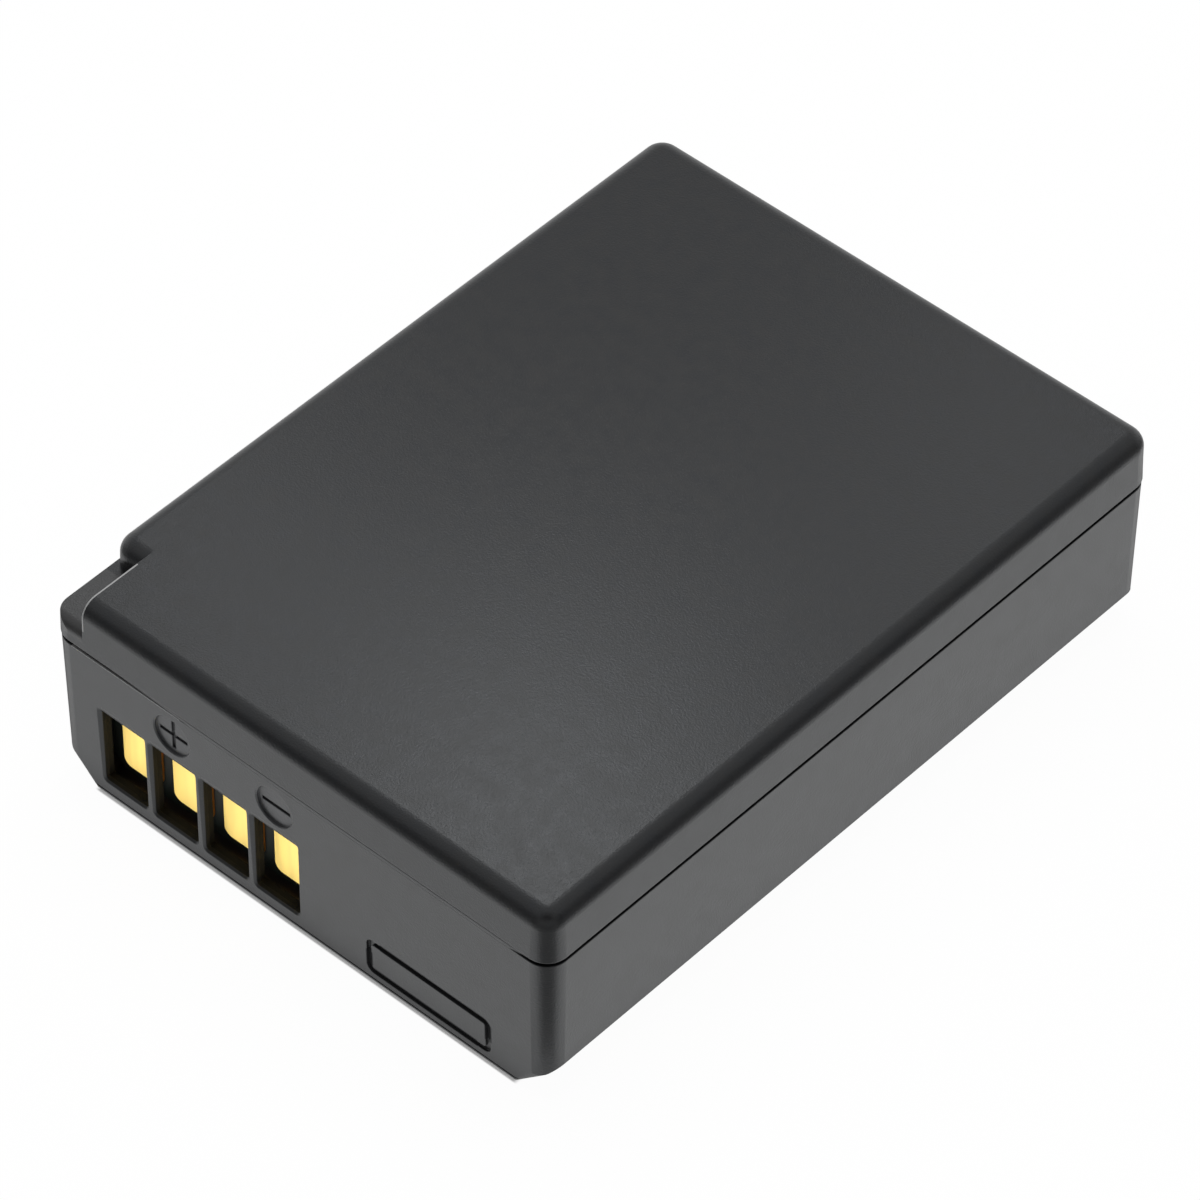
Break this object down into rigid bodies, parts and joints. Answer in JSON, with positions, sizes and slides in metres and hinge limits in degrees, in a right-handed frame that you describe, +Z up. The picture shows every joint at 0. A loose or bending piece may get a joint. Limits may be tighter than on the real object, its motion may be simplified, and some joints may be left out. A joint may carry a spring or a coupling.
{
  "type": "camera battery pack",
  "caption": "Flat rectangular rechargeable camera battery: two-part grey housing with bevelled lower edges, a keying step and recessed gilded contacts at one end.",
  "frame": {"origin": "centre of the flat underside", "axes": "+Y away from the contact end along the length, +Z up from the underside to the cover, +X across the width, to the right seen from the contact end"},
  "size_m": [0.0362, 0.049, 0.0144],
  "materials": {
    "housing": "fine moulded grain, satin",
    "contact_gold": "gilded, polished",
    "board": "green solder lacquer, semi-gloss",
    "chip_mould": "moulded epoxy with tinned leads",
    "resistor_ceramic": "dark glaze with tinned ends",
    "capacitor_ceramic": "fired tan body with tinned ends",
    "fuse_ceramic": "pale body with tinned ends",
    "spacer": "moulded, natural",
    "paper": "calendered fibre paper",
    "cell_can": "drawn, satin",
    "tape": "thin film tape",
    "foam": "closed-cell foam",
    "nickel": "rolled nickel strip"
  },
  "bodies": {
    "root": {"lower_case": "housing", "upper_cover": "housing", "contact_plus": "contact_gold", "contact_data": "contact_gold", "contact_sense": "contact_gold", "contact_minus": "contact_gold", "circuit_board": "board", "protection_chip": "chip_mould", "switch_transistor": "chip_mould", "sense_resistor": "resistor_ceramic", "chip_fuse": "fuse_ceramic", "chip_resistors": "resistor_ceramic", "chip_capacitors": "capacitor_ceramic", "temperature_sensor": "capacitor_ceramic", "board_spacer": "spacer", "insulating_paper": "paper", "cell_lower": "cell_can", "cell_upper": "cell_can", "floor_tape": "tape", "cell_tape": "tape", "cover_foam": "foam", "end_foam": "foam", "series_strip": "nickel", "positive_strip": "nickel", "negative_strip": "nickel", "middle_strip": "nickel"}
  },
  "joints": []
}
